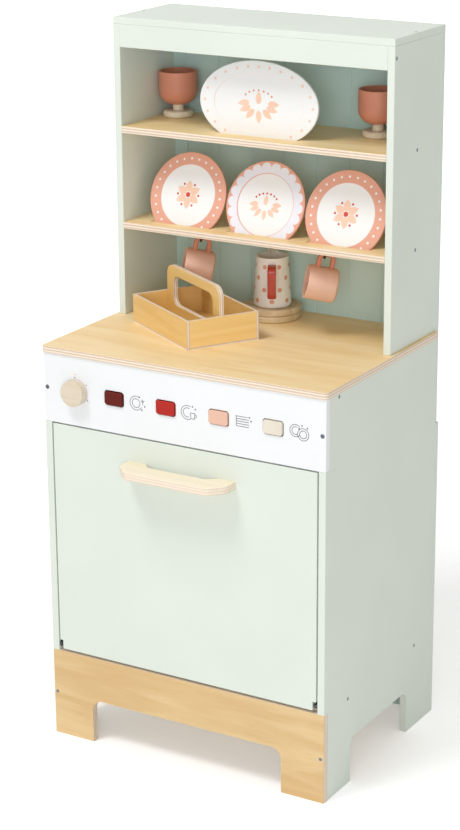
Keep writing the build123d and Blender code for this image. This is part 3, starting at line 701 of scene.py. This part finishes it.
def dotted_platter(name, disc, count=24):
    """Oval white platter with dots round its rim, at even steps along the oval."""
    finish = Finish(name)
    right, up = disc_maths(finish, disc)
    wide, tall = PLATTER_HALF - Vector((PLATTER_DOTS_INSET, PLATTER_DOTS_INSET))
    uneven = (wide - tall) / (wide + tall) / 2
    angle = (up / tall).bearing(right / wide)
    phase = angle - (angle * 2).sine() * uneven
    stop = phase - phase.repeat(2 * pi / count)
    centre = stop + (stop * 2).sine() * uneven
    x = right - centre.cosine() * wide
    z = up - centre.sine() * tall
    dot = (x * x + z * z).root()
    oval = ((right / PLATTER_LINE.x) ** 2 + (up / PLATTER_LINE.y) ** 2).root()
    off_line = abs(oval - 1).smooth(LINE_EDGE, LINE_BLUR)
    colour = finish.mix(inside(dot, PLATTER_DOT), DISH_WHITE, PLATTER_DOT_INK)
    colour = finish.mix((1 - off_line) * 0.5, colour, PLATTER_INK)
    return printed(finish, colour)


plate_finishes["serving_platter"] = dotted_platter("platter_print", platter_disc)
print("printed dishes:", sorted(plate_finishes))

# %% [markdown]
# ## The jug's polka dots
#
# The dots stand in rows round the jug and every second row is shifted by half a step. The
# jug could be unwrapped for a picture of them, but a formula has no seam. The angle round
# the jug's axis is folded into one step, which draws all dots of a row at once, and the
# distance from that axis keeps them off the inside.

# %% Jug
jug_axis = middle("saucer_upper")       # the jug stands on the middle of this dish
jug_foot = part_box("jug_body")[0].z
JUG_BASE_RADIUS = 0.0262
JUG_TAPER = 0.0662
JUG_DOT = 0.0030
JUG_ROW = 0.0155
JUG_DOTS_ROUND = 7
JUG_RADIUS = 0.024
JUG_FIRST_ROW = 0.010
JUG_TURN = radians(-62)
DOTS_FROM, DOTS_FULL = -0.0018, -0.0008     # from the outside, where the wall takes the dots
JUG_WHITE = tint("#fbf8f2")
JUG_CREAM = tint("#f2ece3")
JUG_DOT_INK = tint("#e2a182")


def spotted_jug(name):
    finish = Finish(name)
    place = finish.place()
    x = place.dot(X_AXIS) - jug_axis.x
    y = place.dot(Y_AXIS) - jug_axis.y
    height = place.dot(Z_AXIS) - (jug_foot + JUG_FIRST_ROW)
    angle = y.bearing(x)
    row = (height / JUG_ROW).rounded()
    step = 2 * pi / JUG_DOTS_ROUND
    shift = JUG_TURN + row * (step / 2)
    along = (angle - shift).repeat(step) * JUG_RADIUS
    rise = height - row * JUG_ROW
    dot = (along * along + rise * rise).root()
    radius = (x * x + y * y).root()
    wall = radius - JUG_BASE_RADIUS + (height + JUG_FIRST_ROW) * JUG_TAPER
    outside = wall.smooth(DOTS_FROM, DOTS_FULL)
    spots = inside(dot, JUG_DOT) * outside
    fine = finish.noise(place, 1300.0, detail=2.0)
    cloud = finish.noise(place, 45.0)
    white = finish.mix(cloud, JUG_WHITE, JUG_CREAM)
    finish.set(Base_Color=finish.mix(spots, white, JUG_DOT_INK))
    finish.set(Roughness=0.4 + 0.1 * fine)
    finish.bump(fine, 0.00004)
    return finish.material


jug_print = spotted_jug("jug_print")
print("jug's finish:", jug_print.name)

# %% [markdown]
# ## Dress the solids
#
# A solid whose shape is right keeps its mesh and only gets a material. One table says
# which finish each node has.

# %% Dress
finishes = {
    sage_paint: ["side_panel_left", "side_panel_right", "hutch_side_left", "hutch_side_right",
                 "hutch_top", "header_rail", "door_panel"],
    back_paint: ["hutch_back_board", "lower_back_board"],
    panel_paint: ["control_panel"],
    shelf_ply: ["worktop", "upper_shelf", "lower_shelf", "floor_board", "front_stretcher"],
    upright_ply: ["plinth", "button_guide_board"],
    caddy_side_ply: ["caddy_long_sides", "caddy_divider"],
    caddy_end_painted_lit_ply: ["caddy_ends"],
    caddy_base_ply: ["caddy_base"],
    handle_ply: ["door_handle"],
    knob_wood: ["dial_knob", "dial_spindle"],
    foot_wood: ["goblet_foot_left", "goblet_foot_right"],
    dish_wood: ["saucer_lower", "saucer_upper", "rack_rails", "rack_pegs"],
    goblet_lacquer: ["goblet_bowl_left", "goblet_bowl_right"],
    mug_lacquer: ["mug_body_left", "mug_body_right"],
    mug_handle_lacquer: ["mug_handle_left", "mug_handle_right"],
    jug_print: ["jug_body"],
    jug_handle_lacquer: ["jug_handle"],
    zinc: ["hinge_bracket_screws", "striker_plates", "handle_screws"],
    bolt_steel: ["control_panel_bolts", "panel_screws"],
    dark_steel: ["hinge_brackets", "hinge_pins", "cup_hooks"],
    spring_steel: [f"button_spring_{n}" for n in (1, 2, 3, 4)],
    catch_plastic: ["catch_housings"],
    magnet_plastic: ["catch_magnets"],
}
for name, material in plate_finishes.items():
    finishes[material] = [name]
for number, code in enumerate(button_colours, start=1):
    button_lacquer = lacquered(f"button_{number}_lacquer", tint(code), 0.38, 0.04, 0.22)
    finishes[button_lacquer] = [f"button_{number}"]


def dress(node, material):
    """Give every face of a node one material."""
    mesh = nodes[node].data
    mesh.materials.clear()
    mesh.materials.append(material)


for material, names in finishes.items():
    for name in names:
        dress(name, material)
dressed = {name for names in finishes.values() for name in names}
print("nodes without a finish:", sorted(set(nodes) - dressed))

# %% [markdown]
# ## Copies of the springs
#
# A steel spring behind each button gets shorter as the button goes in. A coil could be
# drawn anew, but the packed one has the right shape. So each spring is shown by a copy of
# its solid, which rides with the cabinet, and the packed solid is hidden.


def giving_spring(number):
    node = f"button_spring_{number}"
    coil = bpy.data.objects.new(f"button_coil_{number}", nodes[node].data.copy())
    bpy.context.scene.collection.objects.link(coil)
    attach(coil, "cabinet")
    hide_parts(node)
    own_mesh(coil)


for number in (1, 2, 3, 4):
    giving_spring(number)
print("springs that give:", number)

# %% [markdown]
# ## Prints as thin flat shapes
#
# Icons and the motifs on the dishes have crisp outlines, which are easier to draw than to
# write as a formula. Each print is a flat mesh a hair above the surface it is printed on.
# It is built from circles, straight strokes and arcs, and then placed. It rides with the
# piece that it is printed on.

# %% Inks
ink = lacquered("ink", tint("#686b6f"), 0.6)
peach_ink = lacquered("peach_ink", tint("#f3cdb6"), 0.5)
red_ink = lacquered("red_ink", tint("#d2503f"), 0.5)
line_ink = lacquered("line_ink", tint("#e2977c"), 0.5)
print("inks:", ink.name, peach_ink.name, red_ink.name, line_ink.name)

# %% Flat shapes
PRINT_LIFT = 0.00006
LAYER = 0.000002        # between one shape and the next, so that none share a plane


class Print:
    """A flat drawing: X to the right, Y up, made of filled shapes."""

    def __init__(self, name):
        self.name = name
        self.bm = bmesh.new()
        self.level = 0.0

    def disc(self, x, y, wide, tall, sides=32):
        """Filled ellipse, a hair above the shapes before it."""
        self.level += LAYER
        matrix = Matrix.Translation((x, y, self.level)) @ Matrix.Diagonal((wide, tall, 1, 1))
        made = bmesh.ops.create_circle(self.bm, cap_ends=True, segments=sides, radius=1,
                                       matrix=matrix)
        return made["verts"]

    def leaf(self, x, y, long, wide, turn):
        """Ellipse drawn out to a point at its far end."""
        verts = self.disc(0, 0, long / 2, wide / 2)
        for vert in verts:
            share = vert.co.x / long + 0.5
            vert.co.y *= 1.25 - share ** 3 * 0.9
        matrix = Matrix.Translation((x, y, 0)) @ Matrix.Rotation(turn, 4, "Z")
        bmesh.ops.translate(self.bm, verts=verts, vec=(long / 2, 0, 0))
        bmesh.ops.transform(self.bm, matrix=matrix, verts=verts)

    def ring(self, x, y, radius, line, start=0.0, end=2 * pi, sides=48):
        """Line along a circle or a part of one."""
        span = end - start
        full = span > radians(359)
        inner = Vector((radius - line / 2, 0, 0))
        outer = Vector((radius + line / 2, 0, 0))
        turn = Matrix.Translation((x, y, 0)) @ Matrix.Rotation(start, 4, "Z")
        a = self.bm.verts.new(turn @ inner)
        b = self.bm.verts.new(turn @ outer)
        edge = self.bm.edges.new((a, b))
        steps = max(3, int(sides * span / (2 * pi)))
        bmesh.ops.spin(self.bm, geom=[a, b, edge], cent=(x, y, 0), axis=(0, 0, 1), dvec=(0, 0, 0),
                       angle=span, steps=steps, use_merge=full, use_duplicate=False)

    def stroke(self, x0, y0, x1, y1, line):
        """Straight line with round ends."""
        start, end = Vector((x0, y0, 0)), Vector((x1, y1, 0))
        middle = (start + end) / 2
        span = end - start
        turn = atan2(span.y, span.x)
        move = Matrix.Translation(middle) @ Matrix.Rotation(turn, 4, "Z")
        matrix = move @ Matrix.Diagonal((span.length / 2, line / 2, 1, 1))
        bmesh.ops.create_grid(self.bm, x_segments=1, y_segments=1, size=1, matrix=matrix)
        for x, y in ((x0, y0), (x1, y1)):
            self.disc(x, y, line / 2, line / 2, sides=10)

    def place(self, origin, right, up, material, slot, body):
        """Lay the drawing on a surface and let it ride with a body."""
        out = right.cross(up).normalized()
        turned = Matrix((right, up, out)).transposed().to_4x4()
        matrix = Matrix.Translation(origin + out * PRINT_LIFT) @ turned
        bmesh.ops.transform(self.bm, matrix=matrix, verts=self.bm.verts)
        bmesh.ops.recalc_face_normals(self.bm, faces=self.bm.faces)
        for face in self.bm.faces:
            if face.normal.dot(out) < 0:
                face.normal_flip()
        mesh = bpy.data.meshes.new(self.name)
        self.bm.to_mesh(mesh)
        self.bm.free()
        mesh.materials.append(material)
        piece = bpy.data.objects.new(self.name, mesh)
        bpy.context.scene.collection.objects.link(piece)
        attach(piece, body)


print("shapes lie", PRINT_LIFT, "m over what they are printed on")

# %% [markdown]
# ## Icons on the control panel
#
# Beside each button is a small line drawing of what the wash is for. They are plain signs:
# a plate with a fork, a cup on a plate, a stack of flat dishes, and two plates. Curves with
# a bevel could draw them, but flat strokes stay thin and light. The lines are nearly a
# millimetre wide, and little diamonds stand for drops and gleam.

# %% Icons
ICON_LINE = 0.00085
ICON_HEIGHT = 0.4955
panel_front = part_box("control_panel")[0].y
icon_places = [-0.0633, 0.0132, 0.0917, 0.1711]


def gleam(drawing, places, size=0.0016):
    """Small diamonds."""
    for x, y in places:
        drawing.disc(x, y, size * 0.75, size, sides=4)


def plate_icon(drawing):
    drawing.ring(-0.0025, 0, 0.0092, ICON_LINE, radians(60), radians(330))
    drawing.ring(-0.0025, 0, 0.0058, ICON_LINE, radians(20), radians(380))
    gleam(drawing, [(0.0025, 0.0085), (0.0105, -0.0030), (0.0060, -0.0082)])
    drawing.stroke(0.0075, 0.0060, 0.0075, -0.0010, ICON_LINE)
    drawing.ring(0.0075, 0.0050, 0.0022, ICON_LINE, radians(180), radians(360))


def cup_icon(drawing):
    drawing.ring(-0.0025, 0, 0.0092, ICON_LINE, radians(60), radians(300))
    drawing.ring(-0.0025, 0, 0.0060, ICON_LINE, radians(60), radians(290))
    for x0, y0, x1, y1 in ((0.0020, 0.0000, 0.0084, 0.0000), (0.0020, 0.0000, 0.0026, -0.0075),
                           (0.0084, 0.0000, 0.0078, -0.0075), (0.0026, -0.0075, 0.0078, -0.0075)):
        drawing.stroke(x0, y0, x1, y1, ICON_LINE)
    drawing.ring(0.0088, -0.0035, 0.0020, ICON_LINE, radians(-90), radians(90))
    gleam(drawing, [(0.0050, 0.0085), (0.0092, 0.0055)])


def stack_icon(drawing):
    drawing.stroke(-0.0105, 0.0072, 0.0060, 0.0072, ICON_LINE)
    for level in (0.0040, 0.0008, -0.0024, -0.0056):
        drawing.stroke(-0.0085, level, 0.0080, level, ICON_LINE)
        drawing.ring(-0.0085, level + 0.0016, 0.0016, ICON_LINE, radians(90), radians(270))
    gleam(drawing, [(0.0088, 0.0075), (0.0112, 0.0030)])


def two_plates_icon(drawing):
    drawing.ring(-0.0055, 0.0018, 0.0078, ICON_LINE, radians(40), radians(320))
    drawing.ring(-0.0055, 0.0018, 0.0049, ICON_LINE, radians(60), radians(300))
    drawing.ring(0.0052, -0.0020, 0.0078, ICON_LINE)
    drawing.ring(0.0052, -0.0020, 0.0049, ICON_LINE)
    gleam(drawing, [(0.0035, 0.0092), (-0.0005, 0.0050), (0.0110, 0.0070)])


icons = (plate_icon, cup_icon, stack_icon, two_plates_icon)
for number, (x, draw) in enumerate(zip(icon_places, icons), start=1):
    drawing = Print(f"icon_{number}")
    draw(drawing)
    origin = Vector((x, panel_front, ICON_HEIGHT))
    drawing.place(origin, X_AXIS, Z_AXIS, ink, "magnet_grey", "cabinet")
print("icons:", number)

# %% [markdown]
# ## Marks round the dial
#
# Three printed dots at the knob's edge, each with a short pale bar beyond it, say how far
# the dial is turned.

# %% Dial marks
dial_centre = middle("dial_knob")
dial_centre.y = panel_front
MARK_TURNS = [radians(turn) for turn in (96, 36, -29)]
MARK_RING = 0.0193
MARK_DOT = 0.0008
BAR_RING = 0.0235
BAR_HALF = 0.001
BAR_LINE = 0.0007
TOP_BAR_LEFT, TOP_BAR_RIGHT, TOP_BAR_HEIGHT = -0.0042, 0.0012, 0.0232
TOP_BAR_LINE = 0.0009

marks = Print("dial_marks")
for turn in MARK_TURNS:
    marks.disc(MARK_RING * cos(turn), MARK_RING * sin(turn), MARK_DOT, MARK_DOT, sides=16)
marks.place(dial_centre, X_AXIS, Z_AXIS, ink, "magnet_grey", "cabinet")
bar = Print("dial_bar")
bar.stroke(TOP_BAR_LEFT, TOP_BAR_HEIGHT, TOP_BAR_RIGHT, TOP_BAR_HEIGHT, TOP_BAR_LINE)
for turn in MARK_TURNS[1:]:
    x, y = BAR_RING * cos(turn), BAR_RING * sin(turn)
    bar.stroke(x - BAR_HALF, y, x + BAR_HALF, y, BAR_LINE)
bar.place(dial_centre, X_AXIS, Z_AXIS, peach_ink, "pink_lacquer", "cabinet")
print("marks round the dial:", len(MARK_TURNS))

# %% [markdown]
# ## Motifs on the dishes
#
# The outer plates carry a plain six-petal flower in peach and red. The platter and the
# middle plate carry a fan of leaves under an arch of dots. Petals and leaves are ellipses
# drawn out to a point.

# %% Motifs
WELL_OUT = 0.0012           # the sunk middle of a dish, outwards from its mid-plane
MOTIF_RISE = 0.001
PETAL_START = 0.004
FLOWER_EYE = 0.0034
FLOWER_DOT = 0.0016
LEAF_OUT, LEAF_DOWN = 0.42, 0.55        # where leaves start, as shares of the motif's half sizes
LEAF_TURN = 0.96
ARCH_WIDE, ARCH_TALL = 0.72, 0.95       # the arch of dots, as shares of the same
ARCH_DOTS = 7
ARCH_START, ARCH_STEP = radians(36), radians(18)
ARCH_DOT = 0.0014


def flower(leaves, dots, petals, reach, wide):
    """Petals round a centre, with a dot between each pair."""
    for number in range(petals):
        turn = 2 * pi * number / petals + pi / 2
        leaves.leaf(cos(turn) * PETAL_START, sin(turn) * PETAL_START, reach, wide, turn)
        mid = turn + pi / petals
        out = reach * 1.05
        dots.disc(cos(mid) * out, sin(mid) * out, FLOWER_DOT, FLOWER_DOT, sides=20)
    dots.disc(0, 0, FLOWER_EYE, FLOWER_EYE, sides=24)


def spray(leaves, dots, half_wide, half_tall, count, long, wide):
    """Leaves that fan out below a middle leaf, and an arch of dots over them."""
    for number in range(count):
        turn = pi * number / (count - 1) - pi
        x, y = cos(turn) * half_wide, sin(turn) * half_tall
        leaves.leaf(x * LEAF_OUT, y * LEAF_DOWN, long, wide, atan2(y, x) * LEAF_TURN)
    leaves.leaf(0, -0.001, long, wide, radians(90))
    for number in range(ARCH_DOTS):
        turn = ARCH_START + ARCH_STEP * number
        x, y = cos(turn) * half_wide * ARCH_WIDE, sin(turn) * half_tall * ARCH_TALL
        dots.disc(x, y, ARCH_DOT, ARCH_DOT, sides=20)


def lay(disc, body, name, draw, sizes, dot_material, dot_slot):
    """Both colours of one motif on the front of a dish."""
    leaves, dots = Print(f"{name}_leaves"), Print(f"{name}_dots")
    draw(leaves, dots, *sizes)
    origin = disc.at(0, MOTIF_RISE, WELL_OUT)
    leaves.place(origin, disc.right, disc.up, peach_ink, "pink_lacquer", body)
    dots.place(origin, disc.right, disc.up, dot_material, dot_slot, body)


RED = (red_ink, "red_lacquer")
PEACH = (line_ink, "pink_lacquer")
FLOWER_SIZES = (6, 0.0150, 0.0088)
SPRAY_SIZES = (0.026, 0.0150, 7, 0.0130, 0.0056)
WIDE_SPRAY_SIZES = (0.033, 0.0175, 7, 0.0165, 0.0072)
lay(discs["left"], "dish_left", "motif_left", flower, FLOWER_SIZES, *RED)
lay(discs["right"], "dish_right", "motif_right", flower, FLOWER_SIZES, *RED)
lay(discs["middle"], "dish_middle", "motif_middle", spray, SPRAY_SIZES, *RED)
lay(platter_disc, "platter", "motif_platter", spray, WIDE_SPRAY_SIZES, *PEACH)
print("dishes with a motif:", len(discs) + 1)

# %% [markdown]
# ## Floor, backdrop and light
#
# The photograph has a plain white ground with a soft shadow. The floor is a large white
# plane with a little glow that only the camera sees and that grows with distance, so the
# shadow stays and the far floor is white. The world is white to the camera and in
# reflections, and moderately bright as a light. A lamp high up gives the worktop and the
# fronts their light, and a broad one at the front right keeps the shaded side clear.


# %% Floor and world
FLOOR_HALF = 12
GLOW_NEAR = 0.27
GLOW_FAR = 0.7
GLOW_FROM, GLOW_TO = 0.7, 3.0       # distances between which the glow grows
WORLD_TONE = (1.0, 0.985, 0.955, 1)
WORLD_LIGHT = 0.57
MIDDLE = (0, 0, 0.5)


def add_floor():
    bm = bmesh.new()
    bmesh.ops.create_grid(bm, x_segments=1, y_segments=1, size=FLOOR_HALF)
    mesh = bpy.data.meshes.new("floor")
    bm.to_mesh(mesh)
    bm.free()
    floor = bpy.data.objects.new("floor", mesh)
    bpy.context.scene.collection.objects.link(floor)
    finish = Finish("floor_white")
    seen = finish.add("ShaderNodeLightPath", {}, [], "Is Camera Ray")
    place = finish.place()
    distance = (place.dot(X_AXIS) ** 2 + place.dot(Y_AXIS) ** 2).root()
    glow = finish.mix(distance.smooth(GLOW_FROM, GLOW_TO), grey(GLOW_NEAR), grey(GLOW_FAR))
    finish.set(Base_Color=grey(1), Roughness=0.9, Emission_Strength=1.0)
    finish.set(Emission_Color=finish.mix(seen, grey(0), glow))
    mesh.materials.append(finish.material)


def light_world(strength):
    """White to the camera and in reflections, and this strong as a light."""
    world = bpy.data.worlds.new("studio")
    bpy.context.scene.world = world
    world.use_nodes = True
    studio = Nodes(world.node_tree)
    background = studio.tree.nodes["Background"]
    to_camera = studio.add("ShaderNodeLightPath", {}, [], "Is Camera Ray")
    to_gloss = studio.add("ShaderNodeLightPath", {}, [], "Is Glossy Ray")
    seen = to_camera.most(to_gloss)
    studio.feed(background.inputs["Color"], studio.mix(seen, WORLD_TONE, grey(1)))
    studio.feed(background.inputs["Strength"], strength + (1 - strength) * seen)


def add_lamp(name, place, size, power):
    """A round lamp that looks at the middle of the toy."""
    data = bpy.data.lights.new(name, "AREA")
    data.shape = "DISK"
    data.size = size
    data.energy = power
    lamp = bpy.data.objects.new(name, data)
    bpy.context.scene.collection.objects.link(lamp)
    lamp.location = place
    away = Vector(place) - Vector(MIDDLE)
    lamp.rotation_euler = away.to_track_quat("Z", "Y").to_euler()


add_floor()
light_world(WORLD_LIGHT)
add_lamp("key", place=(-0.7, -1.6, 3.6), size=1.2, power=53)
add_lamp("front", place=(1.7, -3.4, 1.1), size=2.0, power=38)
bpy.context.scene.view_settings.view_transform = "Standard"
print("lamps:", sorted(lamp.name for lamp in bpy.data.lights))

# %% [markdown]
# ## The end
#
